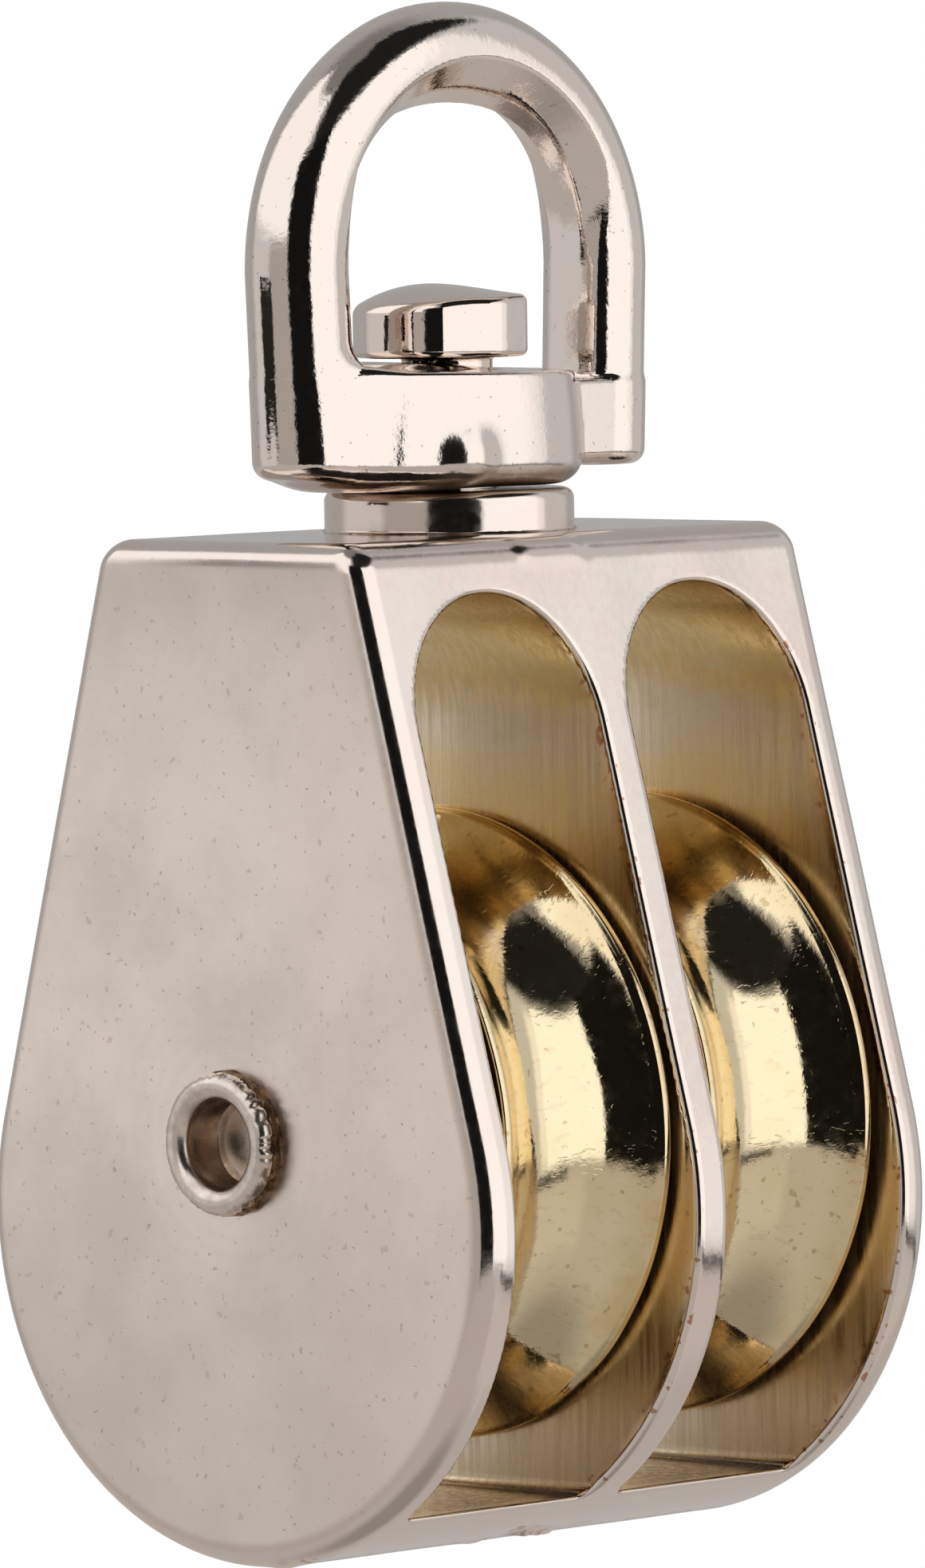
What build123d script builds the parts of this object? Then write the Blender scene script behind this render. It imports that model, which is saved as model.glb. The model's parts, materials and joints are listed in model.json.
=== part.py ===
"""Double sheave block with a swivel eye.

A small lifting block: a die-cast housing with two windows, a loose grooved sheave in each,
one semi-tubular rivet as the axle and a D-shaped eye that turns on a peened stud.
Millimetres. +Z up, -Y the front, X along the axle. Heights below are over the axle. The
finished pieces are moved down so that the origin is where a hook bears inside the eye.
"""
import os
from math import acos, asin, atan2, cos, hypot, sin

from build123d import *

os.makedirs("parts", exist_ok=True)

# ---- housing ----
WIDTH = 25.75            # over both side walls, along X
TOP_Z = 23.33            # flat top
TOP_HALF = 6.96          # half depth of the flat top, along Y
ARC_R = 13.6             # round lower end of the side outline
ARC_Z = -3.0             # its centre, a little below the axle
EDGE_R = 1.1             # rounding of the outer edges
WEB = 1.7                # centre web
WINDOW_W = 10.24         # each window, along X
SILL_Z = -14.35          # bottom of the windows
ARCH_R = WINDOW_W / 2
ARCH_Z = 21.17 - ARCH_R  # centre of the arched window top
WINDOW_X = (WEB + WINDOW_W) / 2
BOSS_R = 4.93
BOSS_TOP = 24.98
BOSS_EDGE_R = 0.45

# ---- sheaves ----
SHEAVE_R = 12.5
SHEAVE_W = 9.4
SHEAVE_LEFT_X = -5.85
SHEAVE_RIGHT_X = 5.85
GROOVE_R = 10.1          # radius to the bottom of the groove
RIM = 0.45               # flat of each rim
RIM_EDGE_R = 0.18

# ---- axle rivet and its washer ----
SHANK_R = 2.0
SHEAVE_PLAY = 0.06       # radial running clearance
WASHER_R = 2.85
WASHER_T = 0.45
LIP_R = 2.8              # rolled lip
LIP_CREST_R = 2.3
LIP_T = 0.62             # height of the lip over the washer
HOLLOW_R = 1.72
HOLLOW_DEPTH = 2.1
HEAD_R = 3.1             # factory head at the far end
HEAD_T = 0.8

# ---- swivel stud ----
STUD_R = 1.8
STUD_BOTTOM = 20.2
STUD_HEAD_R = 3.45
STUD_HEAD_Z = 30.15
STUD_HEAD_T = 2.2
STUD_DOME = 0.7
STUD_PLAY = 0.08

# ---- eye ----
RING_R = 8.52            # centre line of the arch
RING_SECTION_R = 2.03
RING_Z = 33.57           # centre of the arch
LEG_X = 8.17             # the legs close in a little towards the hub
EYE_BOTTOM = 25.75
BAR_TOP = 29.1
HUB_R = 5.3
HUB_BOTTOM = 25.1
HUB_TOP = 29.68
HUB_EDGE_R = 1.1

SEAT_Z = RING_Z + RING_R - RING_SECTION_R   # where a hook bears inside the eye


def put_out(part, name):
    """Writes one piece, with the origin moved up to the seat in the eye."""
    piece = part.moved(Location((0, 0, -SEAT_Z)))
    piece.label = name
    export_step(piece, f"parts/{name}.step")


def cap_middle(base, radius, height):
    """A point halfway up a spherical cap on an axis, as (along the axis, off the axis)."""
    sphere = (radius ** 2 + height ** 2) / (2 * height)
    half = asin(radius / sphere) / 2
    return base + height - sphere + sphere * cos(half), sphere * sin(half)


# ---- housing ----
def tangent_point():
    """Where the straight front side runs into the round lower end."""
    dy, dz = TOP_HALF, TOP_Z - ARC_Z
    angle = atan2(dz, dy) - acos(ARC_R / hypot(dy, dz))
    return ARC_R * cos(angle), ARC_Z + ARC_R * sin(angle)


SIDE_Y, SIDE_Z = tangent_point()

with BuildPart() as housing:
    with BuildSketch(Plane.YZ) as outline:
        with BuildLine():
            Polyline((-SIDE_Y, SIDE_Z), (-TOP_HALF, TOP_Z), (TOP_HALF, TOP_Z), (SIDE_Y, SIDE_Z))
            ThreePointArc((SIDE_Y, SIDE_Z), (0, ARC_Z - ARC_R), (-SIDE_Y, SIDE_Z))
        make_face()
    extrude(amount=WIDTH / 2, both=True)
    fillet(housing.edges(), EDGE_R)
    with BuildSketch(Plane.XZ) as windows:
        with Locations((-WINDOW_X, 0), (WINDOW_X, 0)):
            with Locations((0, (SILL_Z + ARCH_Z) / 2)):
                Rectangle(WINDOW_W, ARCH_Z - SILL_Z)
            with Locations((0, ARCH_Z)):
                Circle(ARCH_R)
    extrude(amount=2 * ARC_R, both=True, mode=Mode.SUBTRACT)
    with BuildSketch(Plane.XY.offset(TOP_Z - 0.5)):
        Circle(BOSS_R)
    extrude(amount=BOSS_TOP - TOP_Z + 0.5)
    fillet(housing.edges().filter_by(GeomType.CIRCLE).group_by(Axis.Z)[-1], BOSS_EDGE_R)
    with BuildSketch(Plane.XY.offset(STUD_BOTTOM)):
        Circle(STUD_R)
    extrude(amount=BOSS_TOP - STUD_BOTTOM + 1, mode=Mode.SUBTRACT)
    with BuildSketch(Plane.YZ):
        Circle(SHANK_R)
    extrude(amount=WIDTH, both=True, mode=Mode.SUBTRACT)
put_out(housing.part, "housing")


# ---- sheaves ----
def rim_edges(sheave):
    """The four round edges at the outer diameter."""
    return [edge for edge in sheave.edges().filter_by(GeomType.CIRCLE) if edge.radius > SHEAVE_R - 0.01]


with BuildSketch() as section:
    half, flat, bore = SHEAVE_W / 2, SHEAVE_W / 2 - RIM, SHANK_R + SHEAVE_PLAY
    with BuildLine():
        Polyline((-flat, SHEAVE_R), (-half, SHEAVE_R), (-half, bore), (half, bore),
                 (half, SHEAVE_R), (flat, SHEAVE_R))
        ThreePointArc((flat, SHEAVE_R), (0, GROOVE_R), (-flat, SHEAVE_R))
    make_face()

with BuildPart() as sheave_left:
    with BuildSketch(Plane.XZ.shift_origin((SHEAVE_LEFT_X, 0, 0))):
        add(section.sketch)
    revolve(axis=Axis.X)
    fillet(rim_edges(sheave_left), RIM_EDGE_R)
put_out(sheave_left.part, "sheave_left")

with BuildPart() as sheave_right:
    with BuildSketch(Plane.XZ.shift_origin((SHEAVE_RIGHT_X, 0, 0))):
        add(section.sketch)
    revolve(axis=Axis.X)
    fillet(rim_edges(sheave_right), RIM_EDGE_R)
put_out(sheave_right.part, "sheave_right")

# ---- axle rivet: solid shank, hollow rolled end on the left, factory head on the right ----
with BuildPart() as axle_rivet:
    with BuildSketch(Plane.XZ):
        wall, seat = WIDTH / 2, WIDTH / 2 + WASHER_T
        crest = seat + LIP_T
        with BuildLine():
            Polyline((-crest + HOLLOW_DEPTH, 0), (-crest + HOLLOW_DEPTH, HOLLOW_R),
                     (-seat, HOLLOW_R))
            ThreePointArc((-seat, HOLLOW_R), (-crest + 0.18, HOLLOW_R + 0.17),
                          (-crest, LIP_CREST_R))
            ThreePointArc((-crest, LIP_CREST_R), (-crest + 0.16, LIP_R - 0.13),
                          (-seat - 0.1, LIP_R))
            Polyline((-seat - 0.1, LIP_R), (-seat, LIP_R), (-seat, SHANK_R), (wall, SHANK_R),
                     (wall, HEAD_R), (wall + 0.25, HEAD_R))
            ThreePointArc((wall + 0.25, HEAD_R), cap_middle(wall + 0.25, HEAD_R, HEAD_T - 0.25),
                          (wall + HEAD_T, 0))
            Line((wall + HEAD_T, 0), (-crest + HOLLOW_DEPTH, 0))
        make_face()
    revolve(axis=Axis.X)
put_out(axle_rivet.part, "axle_rivet")

with BuildPart() as rivet_washer:
    with BuildSketch(Plane.YZ.offset(-WIDTH / 2 - WASHER_T)):
        Circle(WASHER_R)
        Circle(SHANK_R, mode=Mode.SUBTRACT)
    extrude(amount=WASHER_T)
put_out(rivet_washer.part, "rivet_washer")

# ---- swivel stud ----
with BuildPart() as swivel_stud:
    with BuildSketch(Plane.XZ):
        head_top = STUD_HEAD_Z + STUD_HEAD_T
        with BuildLine():
            rim = STUD_HEAD_R - 0.25
            Polyline((0, head_top + STUD_DOME), (0, STUD_BOTTOM), (STUD_R, STUD_BOTTOM),
                     (STUD_R, STUD_HEAD_Z), (rim, STUD_HEAD_Z),
                     (STUD_HEAD_R, STUD_HEAD_Z + 0.25), (STUD_HEAD_R, head_top - 0.2),
                     (rim, head_top))
            ThreePointArc((rim, head_top), cap_middle(head_top, rim, STUD_DOME)[::-1],
                          (0, head_top + STUD_DOME))
        make_face()
    revolve(axis=Axis.Z)
put_out(swivel_stud.part, "swivel_stud")

# ---- eye: round-section arch and legs, a bar between the legs and a hub in the middle ----
with BuildPart() as swivel_eye:
    for side in (-1, 1):
        leg = Plane(origin=(side * LEG_X, 0, EYE_BOTTOM),
                    z_dir=(side * (RING_R - LEG_X), 0, RING_Z - EYE_BOTTOM))
        with BuildSketch(leg):
            Circle(RING_SECTION_R)
        extrude(amount=((RING_R - LEG_X) ** 2 + (RING_Z - EYE_BOTTOM) ** 2) ** 0.5)
    fillet(swivel_eye.edges().group_by(Axis.Z)[0], 0.6)
    with BuildSketch(Plane.XY.offset(RING_Z)):
        with Locations((RING_R, 0)):
            Circle(RING_SECTION_R)
    revolve(axis=Axis((0, 0, RING_Z), (0, -1, 0)), revolution_arc=180)
    with BuildSketch(Plane.XY.offset(EYE_BOTTOM)):
        Rectangle(2 * LEG_X, 2 * RING_SECTION_R - 0.1)
    extrude(amount=BAR_TOP - EYE_BOTTOM)
    with BuildSketch(Plane.XZ):
        with BuildLine():
            Polyline((HUB_R, HUB_BOTTOM + HUB_EDGE_R), (HUB_R, HUB_TOP - 0.2),
                     (HUB_R - 0.2, HUB_TOP), (0, HUB_TOP), (0, HUB_BOTTOM),
                     (HUB_R - HUB_EDGE_R, HUB_BOTTOM))
            RadiusArc((HUB_R - HUB_EDGE_R, HUB_BOTTOM), (HUB_R, HUB_BOTTOM + HUB_EDGE_R),
                      HUB_EDGE_R)
        make_face()
    revolve(axis=Axis.Z)
    with BuildSketch(Plane.XY.offset(HUB_BOTTOM)):
        Circle(STUD_R + STUD_PLAY)
    extrude(amount=HUB_TOP - HUB_BOTTOM, mode=Mode.SUBTRACT)
put_out(swivel_eye.part, "swivel_eye")
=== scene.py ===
import json
import math

import bpy
import numpy as np
from mathutils import Matrix, Vector


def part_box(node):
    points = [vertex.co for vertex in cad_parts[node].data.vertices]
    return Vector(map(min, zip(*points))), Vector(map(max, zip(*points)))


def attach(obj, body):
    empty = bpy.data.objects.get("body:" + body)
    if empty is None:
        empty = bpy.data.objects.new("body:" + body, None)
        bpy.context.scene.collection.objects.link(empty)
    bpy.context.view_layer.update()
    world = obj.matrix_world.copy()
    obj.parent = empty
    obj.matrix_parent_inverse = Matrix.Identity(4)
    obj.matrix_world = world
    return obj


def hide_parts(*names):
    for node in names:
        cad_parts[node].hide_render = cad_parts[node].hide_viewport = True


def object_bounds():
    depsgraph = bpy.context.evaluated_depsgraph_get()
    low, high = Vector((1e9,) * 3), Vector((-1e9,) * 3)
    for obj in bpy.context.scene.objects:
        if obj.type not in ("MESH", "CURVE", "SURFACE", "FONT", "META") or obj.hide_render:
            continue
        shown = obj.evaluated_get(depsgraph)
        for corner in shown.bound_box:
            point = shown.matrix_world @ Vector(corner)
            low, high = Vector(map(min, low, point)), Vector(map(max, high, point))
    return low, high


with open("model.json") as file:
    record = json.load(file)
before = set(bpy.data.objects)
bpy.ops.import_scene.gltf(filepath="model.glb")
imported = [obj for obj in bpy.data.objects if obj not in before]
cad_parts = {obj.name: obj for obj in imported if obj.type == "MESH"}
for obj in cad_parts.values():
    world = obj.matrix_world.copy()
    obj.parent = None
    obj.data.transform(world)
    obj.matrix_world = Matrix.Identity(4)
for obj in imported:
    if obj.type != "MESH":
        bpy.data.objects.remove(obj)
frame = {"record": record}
cad_box = [list(corner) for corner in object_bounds()]

# ---------------------------------------------------------------- sizes, in mm over the axle
MM = 0.001
JOINTS = {joint["name"]: joint for joint in frame["record"]["behaviour"]["joints"]}
AXLE_Z = JOINTS["sheave_left_spin"]["pos_m"][2]      # the axle under the seat in the eye, in m
HOUSING_LO, HOUSING_HI = (np.array(corner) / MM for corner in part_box("housing"))
WIDTH = HOUSING_HI[0] - HOUSING_LO[0]
BOSS_TOP = HOUSING_HI[2] - AXLE_Z / MM
TOP_Z, TOP_HALF, EDGE_R = 23.33, 6.96, 1.1
ARC_R, ARC_Z = 13.6, -3.0
WEB, WINDOW_W, SILL_Z, ARCH_TOP = 1.7, 10.24, -14.35, 21.17
WINDOW_X, ARCH_R = (WEB + WINDOW_W) / 2, WINDOW_W / 2
ARCH_Z = ARCH_TOP - ARCH_R
BOSS_R = 4.93
STUD_R, STUD_BOTTOM, SHANK_R = 1.8, 20.2, 2.0
SHEAVE_R, SHEAVE_W, GROOVE_R, RIM, BORE_R = 12.5, 9.4, 10.1, 0.45, 2.06
SHEAVE_X = 5.85
WASHER_T, LIP_T, HOLLOW_R, HOLLOW_DEPTH, RIVET_HEAD_T = 0.45, 0.62, 1.72, 2.1, 0.8
RING_R, RING_Z, LEG_X, SECTION_R = 8.52, 33.57, 8.17, 2.03
EYE_BOTTOM, BAR_TOP, HUB_BOTTOM, HUB_TOP = 25.75, 29.1, 25.1, 29.68
HUB_LONG, HUB_SHORT, HUB_MEAN = 5.87, 4.75, 5.2     # the hub along X and Y, and its mean radius
HUB_DRAWN = 2.5                                     # how much further it reaches on the left
HEAD_R, HEAD_Z, HEAD_T, DOME = 3.45, 30.15, 2.2, 0.7
EYE_OFF = 0.12                                      # the arch stands this much off the swivel axis


def place(points):
    """Points in mm over the axle, as points in the row frame in metres."""
    return np.asarray(points, float) * MM + np.array([0, 0, AXLE_Z])


# ---------------------------------------------------------------- distance fields
def round_and(r, *fields):
    """Where all the fields are negative, with the outer edges rounded to radius r."""
    total = sum(np.maximum(f + r, 0) ** 2 for f in fields)
    deepest = fields[0]
    for f in fields[1:]:
        deepest = np.maximum(deepest, f)
    return np.minimum(deepest, -r) + np.sqrt(total)


def round_or(r, a, b):
    """Where either field is negative, with the inner corner filled to radius r."""
    return np.maximum(np.minimum(a, b), r) - np.sqrt(np.maximum(r - a, 0) ** 2 + np.maximum(r - b, 0) ** 2)


def waves(seed, length, count=7):
    """A gentle unevenness of about one, with bumps about length apart."""
    rng = np.random.default_rng(seed)
    turns = rng.normal(size=(count, 3))
    turns *= (2 * math.pi / length * rng.uniform(0.6, 1.5, count) / np.linalg.norm(turns, axis=1))[:, None]
    starts = rng.uniform(0, 2 * math.pi, count)

    def field(x, y, z):
        return sum(np.sin(k[0] * x + k[1] * y + k[2] * z + s) for k, s in zip(turns, starts)) / count ** 0.5
    return field


def lump(x, y, z, at, size, height):
    """A soft bump to take off a field."""
    return height * np.exp(-sum(((c - a) / s) ** 2 for c, a, s in zip((x, y, z), at, size)))


def net(field, lo, hi, step):
    """Surface net of field = 0: points drawn onto the surface, quads, and the field's normals."""
    lo = np.array(lo, float)
    n = np.ceil((np.array(hi) - lo) / step).astype(int) + 1
    ax = [lo[i] + step * np.arange(n[i]) for i in range(3)]
    vol = np.empty(n, np.float32)
    slab = 12                                       # layers worked out at a time, to save memory
    for i in range(0, n[0], slab):
        x, y, z = np.meshgrid(ax[0][i:i + slab], ax[1], ax[2], indexing="ij")
        vol[i:i + slab] = field(x, y, z)
    cells = n - 1
    ids = np.full(cells, -1, np.int64)
    quads, edges = [], []
    for a in range(3):
        low = [slice(None)] * 3
        high = [slice(None)] * 3
        low[a], high[a] = slice(None, -1), slice(1, None)
        v0, v1 = vol[tuple(low)], vol[tuple(high)]
        hit = np.argwhere((v0 < 0) != (v1 < 0))
        f0, f1 = v0[tuple(hit.T)].astype(float), v1[tuple(hit.T)].astype(float)
        at = hit.astype(float)
        at[:, a] += f0 / (f0 - f1)
        b, c = (a + 1) % 3, (a + 2) % 3
        around = []
        for db, dc in ((0, 0), (-1, 0), (-1, -1), (0, -1)):
            cell = hit.copy()
            cell[:, b] += db
            cell[:, c] += dc
            around.append(np.ravel_multi_index(tuple(cell.T), tuple(cells)))
        edges.append((at, np.stack(around, 1), f0 < 0))
    flat = ids.ravel()
    used = np.unique(np.concatenate([e[1].ravel() for e in edges]))
    flat[used] = np.arange(len(used))
    total, count = np.zeros((len(used), 3)), np.zeros(len(used))
    for at, around, inside in edges:
        mine = flat[around]
        for k in range(4):
            np.add.at(total, mine[:, k], at)
            np.add.at(count, mine[:, k], 1)
        quads.append(np.where(inside[:, None], mine, mine[:, ::-1]))
    spots = lo + step * total / count[:, None]

    def slope(p, h=1e-3):
        g = np.empty_like(p)
        for i in range(3):
            d = np.zeros(3)
            d[i] = h
            g[:, i] = (field(*(p + d).T) - field(*(p - d).T)) / (2 * h)
        return g
    start = spots.copy()
    for _ in range(4):
        g = slope(spots)
        spots = spots - (field(*spots.T) / np.maximum((g ** 2).sum(1), 0.2))[:, None] * g
        spots = start + np.clip(spots - start, -step, step)
    g = slope(spots)
    return spots, np.concatenate(quads), g / np.linalg.norm(g, axis=1)[:, None]


def mesh_piece(name, points, faces, node, body, normals=None, sharp=None):
    """One looks piece in place of a CAD node, riding on its body."""
    mesh = bpy.data.meshes.new(name)
    mesh.from_pydata(place(points).tolist(), [], [list(map(int, f)) for f in faces])
    mesh.update()
    mesh.polygons.foreach_set("use_smooth", [True] * len(mesh.polygons))
    if normals is not None:
        mesh.normals_split_custom_set_from_vertices(np.asarray(normals).tolist())
    if sharp:
        mesh.set_sharp_from_angle(angle=math.radians(sharp))
    piece = bpy.data.objects.new(name, mesh)
    bpy.context.collection.objects.link(piece)
    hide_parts(node)
    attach(piece, body)


def lathe(profile, steps, shape):
    """Turns a closed profile of (along X, off X) about the axle.
    shape(k, angle) may return small shifts along and off the axle for profile point k."""
    rows = []
    angles = np.linspace(0, 2 * math.pi, steps, endpoint=False)
    for k, (a, r) in enumerate(profile):
        da, dr = shape(k, angles)
        a, r = a + da + 0 * angles, r + dr + 0 * angles
        rows.append(np.stack([a, r * np.cos(angles), r * np.sin(angles)], 1))
    points = np.concatenate(rows)
    faces = []
    m = len(profile)
    for k in range(m):
        nk = (k + 1) % m
        for s in range(steps):
            ns = (s + 1) % steps
            faces.append((k * steps + s, k * steps + ns, nk * steps + ns, nk * steps + s))
    return points, faces


def arc(cx, cy, r, start, end, count):
    """Points on a circle, angles in degrees."""
    return [(cx + r * math.cos(math.radians(t)), cy + r * math.sin(math.radians(t)))
            for t in np.linspace(start, end, count)]


# ---------------------------------------------------------------- housing
LEAN = math.atan2(TOP_Z - ARC_Z, TOP_HALF) - math.acos(ARC_R / math.hypot(TOP_HALF, TOP_Z - ARC_Z))
cast_waves = waves(3, 7.0)
# little burrs left under the bottom bar, and one under the left wall: (place, size, height)
rng = np.random.default_rng(31)
FLASH_Z = -16.3
FLASH = [((rng.uniform(-4.2, 2.6), rng.uniform(-4.6, -3.2), FLASH_Z + rng.uniform(0, 0.3)),
          rng.uniform(0.18, 0.5, 3), rng.uniform(0.08, 0.2)) for _ in range(12)]
FLASH.append(((-11.9, -1.6, FLASH_Z), (0.5, 0.5, 0.3), 0.16))
# the gate mark, a low flat lump on the top front edge
GATE, GATE_SIZE, GATE_T = (-1.7, -7.1, 23.1), (1.85, 0.75, 0.8), 0.09


def outline_field(y, z):
    up = z - ARC_Z
    line = np.abs(y) * math.cos(LEAN) + up * math.sin(LEAN) - ARC_R
    past = up * math.cos(LEAN) - np.abs(y) * math.sin(LEAN) > 0
    return np.where(past, line, np.hypot(y, up) - ARC_R)


def window_field(x, z):
    off = np.abs(x) - WINDOW_X
    walls = np.where(z > ARCH_Z, np.hypot(off, z - ARCH_Z), np.abs(off)) - ARCH_R
    return round_and(0.5, walls, SILL_Z - z)


def housing_field(x, y, z):
    skin = round_and(EDGE_R, outline_field(y, z), z - TOP_Z, np.abs(x) - WIDTH / 2)
    skin = skin + 0.006 * cast_waves(x, y, z)
    gate_x, gate_y, gate_z = ((c - a) / size for c, a, size in zip((x, y, z), GATE, GATE_SIZE))
    skin = skin - GATE_T * np.exp(-gate_x ** 8 - gate_y ** 4 - gate_z ** 4)
    for at, size, height in FLASH:
        skin = skin - lump(x, y, z, at, size, height)
    body = round_and(0.28, skin, -window_field(x, z))
    boss = round_and(0.45, np.hypot(x, y) - BOSS_R, z - BOSS_TOP)
    boss = np.maximum(boss, TOP_Z - 1 - z)
    body = round_or(0.12, body, boss)
    # the holes are cleared by 0.01 mm, so that no two surfaces coincide
    body = np.maximum(body, -np.maximum(np.hypot(x, y) - STUD_R - 0.01, STUD_BOTTOM - z))
    return np.maximum(body, SHANK_R + 0.01 - np.hypot(y, z))


STEP = 0.16
points, faces, normals = net(housing_field, (-WIDTH / 2 - 0.5, -ARC_R - 0.5, ARC_Z - ARC_R - 0.5),
                             (WIDTH / 2 + 0.5, ARC_R + 0.5, BOSS_TOP + 0.5), STEP)
mesh_piece("housing_casting", points, faces, "housing", "block", normals)


# ---------------------------------------------------------------- swivel eye
def facet(deep, wide, a, b):
    """Distance beyond the flat through two points of the eye's section.
    Each is given as (towards the opening, off the middle)."""
    du, dw = b[0] - a[0], b[1] - a[1]
    return (-dw * (deep - a[0]) + du * (wide - a[1])) / np.hypot(du, dw)


BULGE, BULGE_SIZE, BULGE_T = (-3.3, -4.4, 26.3), (0.95, 0.95, 1.15), 0.62      # low on the hub's front
# how far the facet by the crease leans, against the angle round the arch, in degrees
LEAN_AT, LEAN_OF = (0, 45, 60, 70, 80, 90), (5, 7.5, 11, 22, 35, 44)


def eye_field(x, y, z):
    high, off = np.maximum(z - RING_Z, 0), x - EYE_OFF
    centre = RING_R - np.maximum(RING_Z - z, 0) * (RING_R - LEG_X) / (RING_Z - EYE_BOTTOM)
    deep, wide = centre - np.hypot(off, high), np.abs(y)
    turn = np.arctan2(np.abs(off), high + 1e-6)
    twice, fourth = np.cos(2 * turn), np.cos(4 * turn)
    lean = np.radians(np.interp(np.degrees(turn), LEAN_AT, LEAN_OF))
    crease = SECTION_R * np.sin(lean), SECTION_R * np.cos(lean)
    middle = 1.36 - 0.11 * twice + 0.135 * fourth, 0.97 + 0.03 * twice
    seam = 1.65 + 0.14 * twice + 0.18 * fourth, 0 * turn
    ring = round_and(0.07, np.hypot(deep, y) - SECTION_R, facet(deep, wide, crease, middle),
                     facet(deep, wide, middle, seam))
    ring = round_and(0.5, ring, EYE_BOTTOM - z)
    # the bar stands a little proud of the right leg, and on the left it is flush and higher
    right = np.clip((x + 3) / 7, 0, 1)
    right = right * right * (3 - 2 * right)
    bar = np.hypot(np.maximum(np.abs(off) - centre + 0.12, 0), y) - (SECTION_R - 0.02 + 0.08 * right)
    left_top = HUB_TOP - 0.12
    bar = round_and(0.25, bar, z - left_top + (left_top - BAR_TOP) * right)
    bar = round_and(0.55, bar, EYE_BOTTOM - z)
    share = np.clip((z - HUB_BOTTOM) / (HUB_TOP - HUB_BOTTOM), 0, 1)
    long = HUB_LONG + HUB_DRAWN * (1 - right)
    hub = (np.hypot(x / long, y / HUB_SHORT) - 1) * HUB_MEAN + 0.30 * share ** 2
    hub = hub - lump(x, y, z, BULGE, BULGE_SIZE, BULGE_T)
    hub = round_and(0.2, hub, z - HUB_TOP + 0.02 * (x - y))
    hub = round_and(1.1, hub, HUB_BOTTOM - z)
    eye = round_or(0.3, ring, bar)
    eye = round_or(1.2 - 0.85 * right, eye, hub)
    eye = eye + 0.008 * cast_waves(x, y, z)
    return np.maximum(eye, np.minimum(STUD_R + 0.08 - np.hypot(x, y), HUB_TOP + 0.5 - z))


EYE_HALF = RING_R + SECTION_R + 0.75
points, faces, normals = net(eye_field, (-EYE_HALF, -5.6, EYE_BOTTOM - 1.2),
                             (EYE_HALF, 5.6, RING_Z + RING_R + SECTION_R + 0.6), STEP * 0.75)
mesh_piece("eye_ring", points, faces, "swivel_eye", "eye", normals)


# ---------------------------------------------------------------- swivel stud
FLATS = (-118, 3.3), (-70, 3.36), (-20, 3.36), (40, 3.38), (150, 3.33)     # hammered: (direction, distance)


def stud_field(x, y, z):
    ox, oy = x + 0.17, y - 0.18                     # the head stands a little off the shank
    side = np.hypot(ox, oy) - HEAD_R + 0.01
    for turn, flat in FLATS:
        c, s = math.cos(math.radians(turn)), math.sin(math.radians(turn))
        side = np.maximum(side, ox * c + oy * s - flat)
    fall = 0.075 * (np.hypot(x + 0.5, y - 0.4) ** 1.9) * (1 - 0.10 * (ox - oy))
    top = z - (HEAD_Z + HEAD_T + DOME) + fall
    head = round_and(0.28, side, top)
    head = round_and(0.3, head, HEAD_Z - z)
    shank = np.maximum(np.hypot(x, y) - STUD_R, z - HEAD_Z - 1)
    shank = np.maximum(shank, STUD_BOTTOM - z)
    return round_or(0.15, head, shank)


points, faces, normals = net(stud_field, (-4, -4, STUD_BOTTOM - 0.4), (4, 4, 33.6), STEP * 0.6)
mesh_piece("stud_peened", points, faces, "swivel_stud", "block", normals)

# ---------------------------------------------------------------- sheaves
HALF, FLAT = SHEAVE_W / 2, SHEAVE_W / 2 - RIM
DEEP = SHEAVE_R - GROOVE_R
SWEEP_R = (FLAT ** 2 + DEEP ** 2) / (2 * DEEP)
SWEEP = math.degrees(math.asin(FLAT / SWEEP_R))
EDGE = 0.16
profile = [(-HALF, BORE_R), (-HALF, 4.0), (-HALF, 8.0), (-HALF, SHEAVE_R - 1.0)]
profile += arc(-HALF + EDGE, SHEAVE_R - EDGE, EDGE, 180, 90, 5)
profile += arc(-FLAT - 0.12, SHEAVE_R - 0.12, 0.12, 90, 20, 4)
profile += arc(0, GROOVE_R + SWEEP_R, SWEEP_R, -90 - SWEEP + 1.5, -90 + SWEEP - 1.5, 49)
profile += arc(FLAT + 0.12, SHEAVE_R - 0.12, 0.12, 160, 90, 4)
profile += arc(HALF - EDGE, SHEAVE_R - EDGE, EDGE, 90, 0, 5)
profile += [(HALF, SHEAVE_R - 1.0), (HALF, 8.0), (HALF, 4.0), (HALF, BORE_R)]
for side, sign in (("left", -1), ("right", 1)):
    wobble = waves(20 + sign, 5.0)

    def shape(k, angles, profile=profile, wobble=wobble):
        a, r = profile[k]
        if r < 9:
            return 0, 0
        return 0, 0.012 * wobble(a, r * np.cos(angles), r * np.sin(angles))
    points, faces = lathe(profile, 256, shape)
    points[:, 0] += sign * SHEAVE_X
    node = f"sheave_{side}"
    mesh_piece(node + "_turned", points, faces, node, node, sharp=40)

# ---------------------------------------------------------------- axle rivet and its washer
WALL = WIDTH / 2
SEAT, CREST = WALL + WASHER_T, WALL + WASHER_T + LIP_T
DEPTH = -CREST + HOLLOW_DEPTH
lip = [(DEPTH, 0.001), (DEPTH, 0.9), (DEPTH, HOLLOW_R - 0.06), (DEPTH - 0.06, HOLLOW_R),
       (-SEAT + 0.2, HOLLOW_R)]
lip += arc(-SEAT, 2.3, 0.6, 262, 180, 12)
lip += arc(-SEAT - 0.1, 2.3, 0.5, 172, 95, 10)
first_edge = len(lip) - 8
lip += [(-SEAT - 0.04, 2.8), (-SEAT, 2.76)]
last_edge = len(lip) - 1
lip += [(-SEAT, SHANK_R), (WALL, SHANK_R), (WALL, 3.05)]
lip += arc(WALL + 0.12, 2.98, 0.12, 60, 30, 3)
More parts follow.
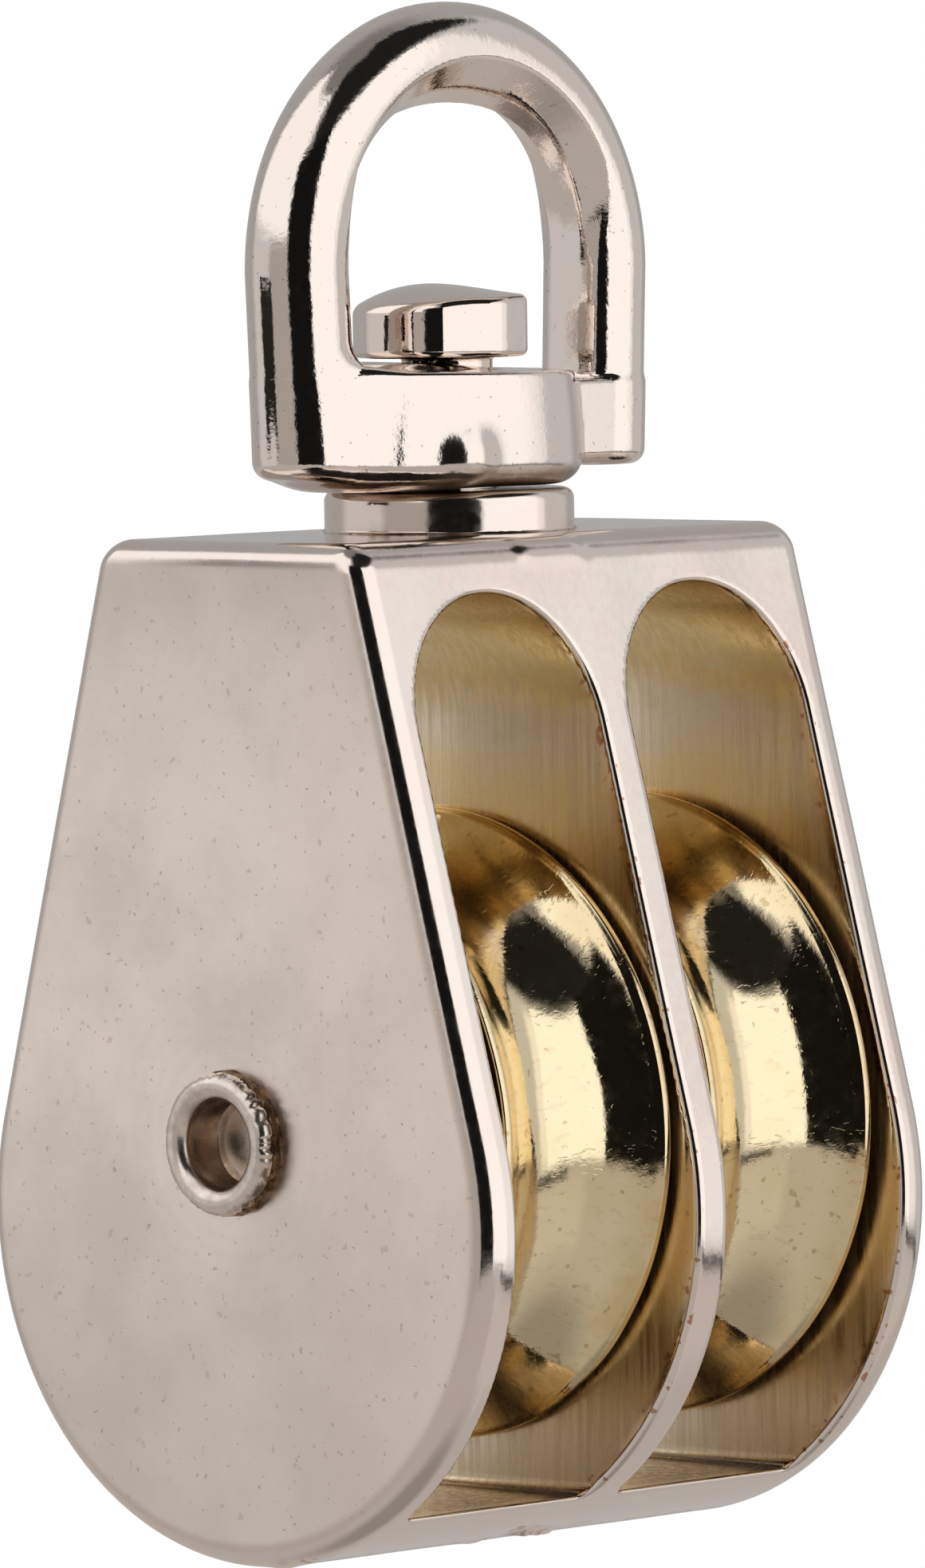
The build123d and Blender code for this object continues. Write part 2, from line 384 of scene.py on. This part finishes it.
lip += [(WALL + 0.34, 2.86), (WALL + 0.5, 2.5), (WALL + 0.64, 1.9), (WALL + 0.74, 1.2), (WALL + 0.79, 0.5),
        (WALL + RIVET_HEAD_T, 0.001)]
# small folds round the rolled edge: (direction, depth, half width)
rng = np.random.default_rng(5)
CREASES = [(rng.uniform(0, 2 * math.pi), rng.uniform(0.02, 0.07), rng.uniform(0.015, 0.05))
           for _ in range(64)]


def creased(k, angles):
    if not first_edge <= k <= last_edge:
        return 0, 0
    share = (k - first_edge + 1) / (last_edge - first_edge + 1)
    cut = sum(depth * np.exp(-(np.angle(np.exp(1j * (angles - at))) / width) ** 2)
              for at, depth, width in CREASES)
    return 0.35 * cut * share, -np.minimum(cut, 0.16) * share


points, faces = lathe(lip, 360, creased)
mesh_piece("rivet_turned", points, faces, "axle_rivet", "block", sharp=50)

RAGGED = waves(8, 0.7)
ring = [(-WALL + 0.01, SHANK_R), (-SEAT + 0.01, SHANK_R), (-SEAT + 0.01, 2.7), (-SEAT + 0.08, 2.82),
        (-SEAT + 0.2, 2.84), (-WALL - 0.1, 2.8), (-WALL + 0.01, 2.84)]


def ragged(k, angles):
    a, r = ring[k]
    if r <= SHANK_R:
        return 0, 0
    return 0, 0.03 * RAGGED(a * 3, r * np.cos(angles), r * np.sin(angles))


points, faces = lathe(ring, 240, ragged)
mesh_piece("washer_ragged", points, faces, "rivet_washer", "block", sharp=35)


# ---------------------------------------------------------------- materials
class Nodes:
    """Short calls for building a node tree."""

    def __init__(self, tree):
        self.tree = tree

    def new(self, kind, inputs=None, **settings):
        node = self.tree.nodes.new(kind)
        for key, value in settings.items():
            setattr(node, key, value)
        for key, value in (inputs or {}).items():
            if isinstance(value, bpy.types.NodeSocket):
                self.tree.links.new(value, node.inputs[key])
            else:
                node.inputs[key].default_value = value
        return node

    def math(self, operation, a, b=0.0, c=0.0):
        return self.new("ShaderNodeMath", {0: a, 1: b, 2: c}, operation=operation).outputs[0]

    def ramp(self, value, low, high, to_low=0.0, to_high=1.0):
        return self.new("ShaderNodeMapRange", {"Value": value, "From Min": low, "From Max": high,
                                               "To Min": to_low, "To Max": to_high},
                        interpolation_type="SMOOTHSTEP").outputs["Result"]

    def mix(self, share, a, b):
        node = self.new("ShaderNodeMix", data_type="RGBA")
        for socket, value in ((node.inputs[0], share), (node.inputs[6], a), (node.inputs[7], b)):
            if isinstance(value, bpy.types.NodeSocket):
                self.tree.links.new(value, socket)
            else:
                socket.default_value = value
        return node.outputs[2]

    def noise(self, vector, scale, detail, rough):
        return self.new("ShaderNodeTexNoise", {"Vector": vector, "Scale": scale, "Detail": detail,
                                               "Roughness": rough}).outputs["Fac"]


def start_material(name):
    material = bpy.data.materials.new(name)
    material.use_nodes = True
    material.node_tree.nodes.clear()
    return material, Nodes(material.node_tree)


def finish_metal(n, color, rough, bump, depth):
    """A metal with the given color and roughness, and a bumpy skin of the given depth in m."""
    skin = n.new("ShaderNodeBump", {"Height": bump, "Strength": 1.0, "Distance": depth}).outputs[0]
    shader = n.new("ShaderNodeBsdfPrincipled",
                   {"Base Color": color, "Roughness": rough, "Metallic": 1.0, "Normal": skin})
    n.new("ShaderNodeOutputMaterial", {"Surface": shader.outputs[0]})


def glow(name, color):
    """A plain emitting material, for the stage."""
    material, n = start_material(name)
    light = n.new("ShaderNodeEmission", {"Color": color, "Strength": 1.0}).outputs[0]
    n.new("ShaderNodeOutputMaterial", {"Surface": light})
    return material


NICKEL = (0.80, 0.725, 0.665, 1)
RUST = (0.42, 0.13, 0.05, 1)
BRASS = (0.87, 0.735, 0.49, 1)
BRASS_DARK = (0.62, 0.42, 0.17, 1)


def start_metal(name):
    """A new material, its nodes, the position in m, the same in mm over the axle, and the normal."""
    material, n = start_material(name)
    coords = n.new("ShaderNodeTexCoord")
    at = coords.outputs["Object"]
    x, y, z = n.new("ShaderNodeSeparateXYZ", {0: at}).outputs
    x, y = n.math("MULTIPLY", x, 1 / MM), n.math("MULTIPLY", y, 1 / MM)
    z = n.math("MULTIPLY_ADD", z, 1 / MM, -AXLE_Z / MM)
    normal = n.new("ShaderNodeSeparateXYZ", {0: coords.outputs["Normal"]}).outputs
    return material, n, at, (x, y, z), normal


def stretched(n, at, x, y, z):
    """A position with its three axes scaled, to draw a pattern out along the smallest."""
    return n.new("ShaderNodeMapping", {"Vector": at, "Scale": (x, y, z)}).outputs[0]


def product(n, *values):
    """All the values multiplied together."""
    total = values[0]
    for value in values[1:]:
        total = n.math("MULTIPLY", total, value)
    return total


def far(n, a, b):
    """The distance off the third axis, from the places along two."""
    return n.math("SQRT", n.math("ADD", n.math("MULTIPLY", a, a), n.math("MULTIPLY", b, b)))


def specks(n, at, scale, share, soft=0.03):
    """Sparse small spots, one on a spot."""
    return n.ramp(n.noise(at, scale, 1.0, 0.4), share, share + soft)


def satin_plate(n, at, y, z):
    """The outer side plates: cloudy, with pits, stains and turned marks, painted shade towards the ends and
    a painted pink sheen towards the front edge. Color, roughness, pits.
    """
    cloud = n.noise(at, 130, 4, 0.6)
    fine = n.noise(at, 2600, 3, 0.6)
    reach = far(n, y, z)
    marks = n.math("SINE", n.math("MULTIPLY_ADD", reach, 9.0, n.math("MULTIPLY", cloud, 9.0)))
    marks = n.math("MULTIPLY", marks, n.ramp(reach, 8.5, 3.5))
    pits = specks(n, at, 4300, 0.74)
    stain = specks(n, at, 2300, 0.72, 0.05)
    color = n.mix(n.ramp(cloud, 0.36, 0.66), (0.83, 0.73, 0.66, 1), (0.98, 0.86, 0.775, 1))
    # painted light: lightest at a mid height, with painted shade greying it towards the ends and a painted
    # pink sheen towards the front edge
    painted_shade_at_ends = n.ramp(n.math("ABSOLUTE", n.math("ADD", z, -7)), 4.0, 19.0, 0.0, 0.55)
    color = n.mix(painted_shade_at_ends, color, (0.67, 0.585, 0.52, 1))
    # painted sheen: pinker towards the front edge
    color = n.mix(n.ramp(y, -1.0, -11.5, 0.0, 0.35), color, (0.93, 0.745, 0.63, 1))
    color = n.mix(n.math("MULTIPLY", fine, 0.16), color, (0.55, 0.50, 0.46, 1))
    color = n.mix(n.math("MULTIPLY_ADD", marks, 0.025, 0.025), color, (0.5, 0.45, 0.41, 1))
    color = n.mix(n.math("MULTIPLY", pits, 0.45), color, (0.33, 0.27, 0.22, 1))
    color = n.mix(n.math("MULTIPLY", stain, 0.35), color, (0.50, 0.34, 0.24, 1))
    return color, n.ramp(cloud, 0.35, 0.65, 0.36, 0.27), pits


def window_plate(n, at, y, z):
    """The insides of the windows: dull, brushed up and down, with painted reflections of the brass sheaves
    as yellow near the sheaves and in the arch tops. Color, roughness, brush.
    """
    brush = n.noise(stretched(n, at, 1.0, 1.0, 0.05), 3200, 3, 0.6)
    drift = n.math("MULTIPLY_ADD", n.noise(stretched(n, at, 0.4, 0.4, 1.0), 520, 3, 0.6), 5.0, -2.5)
    color = n.mix(n.ramp(brush, 0.35, 0.7), (0.86, 0.765, 0.665, 1), (0.70, 0.615, 0.53, 1))
    # painted reflection: the brass sheave shown as yellow on the walls round it
    painted_brass_reflection = n.ramp(n.math("ADD", far(n, y, z), drift), 17.0, 13.0, 0.0, 0.8)
    painted_brass_reflection = n.math("MULTIPLY", painted_brass_reflection, n.ramp(z, -13.0, -7.0, 0.35, 1.0))
    color = n.mix(painted_brass_reflection, color, (0.90, 0.68, 0.36, 1))
    # painted reflection: the brass shown as a darker yellow in the top of the arch
    arch_painted_reflection = n.ramp(n.math("ADD", z, drift), 14.5, 18.0, 0.0, 0.85)
    color = n.mix(arch_painted_reflection, color, (0.70, 0.52, 0.24, 1))
    return color, n.ramp(brush, 0.3, 0.7, 0.20, 0.33), brush


def under_skin(n, y, z):
    """How far outside the housing's side outline a place is, in mm: negative under the skin."""
    up = n.math("ADD", z, -ARC_Z)
    flank = n.math("MULTIPLY_ADD", n.math("ABSOLUTE", y), math.cos(LEAN),
                   n.math("MULTIPLY", up, math.sin(LEAN)))
    return n.math("ADD", n.mix(n.ramp(z, 0.0, 1.0), far(n, y, up), flank), -ARC_R)


def cast_nickel():
    material, n, at, (x, y, z), normal = start_metal("nickel_cast_plate")
    out = n.math("ABSOLUTE", x)
    on_plate = n.ramp(out, WIDTH / 2 - 0.13, WIDTH / 2 - 0.03)
    satin, satin_rough, pits = satin_plate(n, at, y, z)
    dull, dull_rough, brush = window_plate(n, at, y, z)
    depth = under_skin(n, y, z)
    inside = product(n, n.ramp(out, WIDTH / 2 - 0.9, WIDTH / 2 - 0.6, 1.0, 0.0), n.ramp(depth, -0.25, -0.7),
                     n.ramp(z, 22.0, 21.5))
    # the rest is bright plate
    bright = n.mix(n.ramp(n.noise(at, 260, 3, 0.55), 0.4, 0.62), NICKEL, (0.82, 0.70, 0.64, 1))
    color = n.mix(inside, bright, dull)
    # rust on the windows' edges and among the burrs under the bottom bar
    edges = product(n, n.ramp(depth, -1.0, -0.3), n.ramp(n.math("ABSOLUTE", normal[0]), 0.15, 0.4),
                    n.ramp(out, WIDTH / 2 - 0.9, WIDTH / 2 - 1.4))
    burrs = product(n, n.ramp(z, -15.9, -16.2), n.ramp(y, -2.6, -3.2))
    rust = n.math("MAXIMUM", product(n, specks(n, at, 2600, 0.66), edges),
                  product(n, specks(n, at, 2200, 0.56), burrs))
    rust = n.math("MULTIPLY", rust, n.ramp(out, WIDTH / 2 - 0.3, WIDTH / 2 - 0.6))
    color = n.mix(n.math("MULTIPLY", rust, 0.75), color, RUST)
    color = n.mix(on_plate, color, satin)
    rough = n.mix(inside, n.ramp(n.noise(at, 2600, 3, 0.6), 0.3, 0.7, 0.07, 0.15), dull_rough)
    rough = n.mix(on_plate, rough, satin_rough)
    peel = n.math("ADD", n.noise(at, 1500, 4, 0.6), product(n, brush, inside, 1.2))
    peel = n.math("ADD", peel, product(n, pits, on_plate, -1.5))
    finish_metal(n, color, rough, peel, 0.0000045)
    return material


def bright_nickel(name, scale, depth, hub=False):
    """Mirror-bright plating with a rippled skin."""
    material, n, at, (x, y, z), normal = start_metal(name)
    blush = n.ramp(n.noise(at, 420, 3, 0.55), 0.4, 0.65)
    color = n.mix(blush, NICKEL, (0.83, 0.72, 0.655, 1))
    color = n.mix(n.math("MULTIPLY", specks(n, at, 4600, 0.74), 0.6), color, (0.30, 0.24, 0.20, 1))
    rough = n.ramp(n.noise(at, 2400, 3, 0.6), 0.35, 0.75, 0.035, 0.10)
    if hub:
        # the hub's face is duller than the ring, and its underside is darkened with painted shade where it
        # sits over the boss
        reach = far(n, x, y)
        face = product(n, n.ramp(reach, 3.4, 4.2), n.ramp(reach, 6.4, 5.9), n.ramp(z, 30.2, 29.9))
        rough = n.mix(face, rough, (0.13, 0.13, 0.13, 1))
        underside_painted_shade = product(n, n.ramp(normal[2], -0.12, -0.6), n.ramp(reach, 6.2, 5.6), n.ramp(z, 26.6, 26.2))
        shade_streaks = n.ramp(n.noise(at, 900, 3, 0.6), 0.3, 0.6, 0.6, 0.92)
        # painted shade: the underside darkened to a streaky dark brown
        color = n.mix(n.math("MULTIPLY", underside_painted_shade, shade_streaks), color, (0.30, 0.21, 0.14, 1))
        rough = n.mix(underside_painted_shade, rough, (0.30, 0.30, 0.30, 1))
    finish_metal(n, color, rough, n.noise(at, scale, 4, 0.6), depth)
    return material


def brass():
    material, n, at, (x, _, _), _ = start_metal("brass_polished")
    tarnish = n.ramp(n.noise(at, 330, 4, 0.6), 0.45, 0.72)
    color = n.mix(n.math("MULTIPLY", tarnish, 0.35), BRASS, (0.80, 0.62, 0.33, 1))
    off = n.math("ABSOLUTE", n.math("ADD", n.math("ABSOLUTE", x), -SHEAVE_X))
    cheek = n.math("MULTIPLY", n.ramp(off, 3.2, 4.2), n.math("MULTIPLY_ADD", tarnish, 0.3, 0.25))
    color = n.mix(cheek, color, BRASS_DARK)
    scratch = n.ramp(n.noise(stretched(n, at, 0.25, 1.0, 1.0), 3600, 2, 0.5), 0.60, 0.66)
    marks = n.math("MAXIMUM", n.math("MULTIPLY", scratch, 0.25), specks(n, at, 2100, 0.70))
    color = n.mix(n.math("MULTIPLY", marks, 0.5), color, (0.42, 0.28, 0.10, 1))
    rough = n.ramp(n.noise(at, 2000, 3, 0.6), 0.35, 0.75, 0.04, 0.13)
    peel = n.math("ADD", n.noise(at, 1900, 4, 0.62), n.math("MULTIPLY", scratch, -0.25))
    finish_metal(n, color, rough, peel, 0.0000065)
    return material


def rivet_metal():
    material, n, at, (x, y, z), _ = start_metal("rivet_nickel")
    reach = far(n, y, z)
    dirt = n.noise(at, 1300, 4, 0.65)
    color = n.mix(n.ramp(dirt, 0.35, 0.7), (0.76, 0.68, 0.61, 1), (0.60, 0.51, 0.44, 1))
    # brown inside the hollow, with a worn middle, and grime round the outer edge
    hollow = product(n, n.ramp(reach, 1.80, 1.68), n.ramp(x, 0.0, -2.0), n.ramp(dirt, 0.3, 0.6, 0.55, 0.9))
    color = n.mix(hollow, color, (0.33, 0.21, 0.13, 1))
    color = n.mix(n.ramp(reach, 1.45, 1.25, 0.0, 0.8), color, (0.72, 0.64, 0.56, 1))
    rim = product(n, n.ramp(reach, 2.62, 2.74), n.ramp(dirt, 0.48, 0.56))
    color = n.mix(n.math("MULTIPLY", rim, 0.8), color, (0.16, 0.10, 0.07, 1))
    rough = n.ramp(dirt, 0.3, 0.7, 0.20, 0.34)
    finish_metal(n, color, rough, n.noise(at, 2600, 4, 0.6), 0.000006)
    return material


def washer_metal():
    material, n, at, _, _ = start_metal("washer_brown")
    dirt = n.noise(at, 1900, 4, 0.7)
    color = n.mix(n.ramp(dirt, 0.35, 0.65), (0.30, 0.18, 0.09, 1), (0.06, 0.035, 0.02, 1))
    finish_metal(n, color, n.ramp(dirt, 0.3, 0.7, 0.35, 0.6), dirt, 0.00003)
    return material


MATERIALS = {
    "housing_casting": cast_nickel(),
    "eye_ring": bright_nickel("nickel_eye_plate", 2100, 0.000013, hub=True),
    "stud_peened": bright_nickel("nickel_stud_plate", 1300, 0.000008),
    "sheave_left_turned": brass(),
    "rivet_turned": rivet_metal(),
    "washer_ragged": washer_metal(),
}
MATERIALS["sheave_right_turned"] = MATERIALS["sheave_left_turned"]
for name, material in MATERIALS.items():
    bpy.data.objects[name].data.materials.append(material)

# ---------------------------------------------------------------- camera
YAW, PITCH, ROLL = math.radians(-46.5), math.radians(3.2), math.radians(0.9)
DISTANCE = 500.0
FOCAL = 290.472
AIM_X, AIM_Z = 0.353, 13.518                        # where it looks, to the right and up in its view
AXLE_DROP = 0.25                                    # from this far under the axle
back = Vector((math.sin(YAW) * math.cos(PITCH), -math.cos(YAW) * math.cos(PITCH), math.sin(PITCH)))
right = Vector((math.cos(YAW), math.sin(YAW), 0))
up = back.cross(right)
camera_data = bpy.data.cameras.new("camera")
camera_data.sensor_width = 36
camera_data.lens = FOCAL
camera_data.clip_start, camera_data.clip_end = 0.01, 50
camera = bpy.data.objects.new("camera", camera_data)
bpy.context.collection.objects.link(camera)
where = back * DISTANCE + right * AIM_X + up * AIM_Z - Vector((0, 0, AXLE_DROP))
rolled_right = right * math.cos(ROLL) - up * math.sin(ROLL)
rolled_up = right * math.sin(ROLL) + up * math.cos(ROLL)
turn = Matrix((rolled_right, rolled_up, back)).transposed().to_4x4()
camera.matrix_world = Matrix.Translation(Vector(place(where))) @ turn
bpy.context.scene.camera = camera

# ---------------------------------------------------------------- studio
FLOOR_Z = cad_box[0][2] - 0.06                      # in m, well under the hanging block
FLOOR_HALF = 20


def stage_sheet(name, points, faces, color):
    """A sheet of the studio, that lights nothing and casts no shadow."""
    mesh = bpy.data.meshes.new(name)
    mesh.from_pydata(points, [], faces)
    mesh.materials.append(glow(name + "_glow", color))
    sheet = bpy.data.objects.new(name, mesh)
    bpy.context.collection.objects.link(sheet)
    sheet.visible_diffuse = sheet.visible_shadow = False
    return sheet


corners = [(x * FLOOR_HALF, y * FLOOR_HALF, FLOOR_Z) for x, y in ((-1, -1), (1, -1), (1, 1), (-1, 1))]
stage_sheet("floor", corners, [(0, 1, 2, 3)], (1, 1, 1, 1)).visible_glossy = False

# a small black flag beside the eye's left leg, seen only in its reflection
rng = np.random.default_rng(44)
FLAG_OFF = 20.0
LEG_FRONT = -9.2, -0.7                              # the part of the leg that reflects it
flag_points = []
for angle in np.radians(np.linspace(-90, -60, 12)) + YAW:
    x, y = LEG_FRONT[0] + FLAG_OFF * math.sin(angle), LEG_FRONT[1] - FLAG_OFF * math.cos(angle)
    flag_points += [(x, y, rng.uniform(24.9, 26.2)), (x, y, rng.uniform(31.4, 32.6))]
strips = [(k, k + 1, k + 3, k + 2) for k in range(0, len(flag_points) - 2, 2)]
stage_sheet("flag", place(flag_points).tolist(), strips, (0.02, 0.018, 0.015, 1)).visible_camera = False

world = bpy.data.worlds.new("studio")
world.use_nodes = True
world.node_tree.nodes.clear()
bpy.context.scene.world = world
n = Nodes(world.node_tree)
seen = n.new("ShaderNodeTexCoord").outputs["Generated"]
dx, dy, dz = n.new("ShaderNodeSeparateXYZ", {0: seen}).outputs
# azimuth round the object in degrees, 0 on the photographer's side, growing to the right of it
side = n.math("ADD", n.math("MULTIPLY", dx, math.cos(YAW)), n.math("MULTIPLY", dy, math.sin(YAW)))
front = n.math("ADD", n.math("MULTIPLY", dx, math.sin(YAW)), n.math("MULTIPLY", dy, -math.cos(YAW)))
azimuth = n.math("MULTIPLY", n.math("ARCTAN2", side, front), 180 / math.pi)
elevation = n.math("MULTIPLY", n.math("ARCSINE", dz), 180 / math.pi)


def band(value, low, high, soft):
    """One between low and high, with soft edges."""
    return n.math("MULTIPLY", n.ramp(value, low - soft, low + soft),
                  n.ramp(value, high - soft, high + soft, 1.0, 0.0))


def tone(level, warm=0.0):
    """A grey, or a slightly warm one."""
    return (level * (1 + 0.05 * warm), level, level * (1 - 0.05 * warm), 1)


def patch(light, color, az, el, soft):
    """Lays one patch of light over the rest: its span in azimuth and elevation, and its softness."""
    share = n.math("MULTIPLY", band(azimuth, az[0], az[1], soft[0]), band(elevation, el[0], el[1], soft[1]))
    return n.mix(share, light, color)


ROUND, BELOW, ABOVE = (-400, 400), -200, 200        # past every azimuth and elevation
light = tone(0.42)
# ceiling, table and the darker table right under the object
light = patch(light, tone(0.22), ROUND, (62, ABOVE), (2, 12))
light = patch(light, tone(0.49, 1), ROUND, (BELOW, -14), (2, 2))
light = patch(light, tone(0.30, 1), ROUND, (BELOW, -62), (2, 12))
# walls: left, towards the photographer, right, and a card low on the right
light = patch(light, tone(0.66), (-114, -62), (-16, 13), (8, 3))
light = patch(light, tone(0.42, 1), (-62, 5), (-14, 12), (6, 2))
light = patch(light, tone(0.62), (90, 138), (-13, 44), (8, 4))
light = patch(light, tone(0.58, 1), (48, 112), (-46, -18), (6, 6))
# the left softbox, high up, and the dark room over and beside it
light = patch(light, tone(1.15), (-118, -14), (13, 70), (5, 4))
light = patch(light, tone(0.015), (-4, 128), (42, 82), (5, 4))
light = patch(light, tone(0.02), (-24, 14), (14, 44), (3, 2))
# the right softbox with its dimmer far side, the black stand in front of it, and its lower edge
light = patch(light, tone(1.02), (76, 99), (-13, 36), (3, 4))
light = patch(light, tone(1.22), (29, 90), (-13, 40), (1.5, 1.5))
light = patch(light, tone(0.008), (-20, 30), (-13, 45), (1.5, 1.5))
light = patch(light, tone(0.10, 1), (66, 128), (-17.5, -14.5), (4, 0.8))
camera_sees = n.new("ShaderNodeLightPath").outputs["Is Camera Ray"]
light = n.mix(camera_sees, light, (1, 1, 1, 1))
background = n.new("ShaderNodeBackground", {"Color": light, "Strength": 1.0})
n.new("ShaderNodeOutputWorld", {"Surface": background.outputs[0]})
bpy.context.scene.view_settings.view_transform = "Standard"
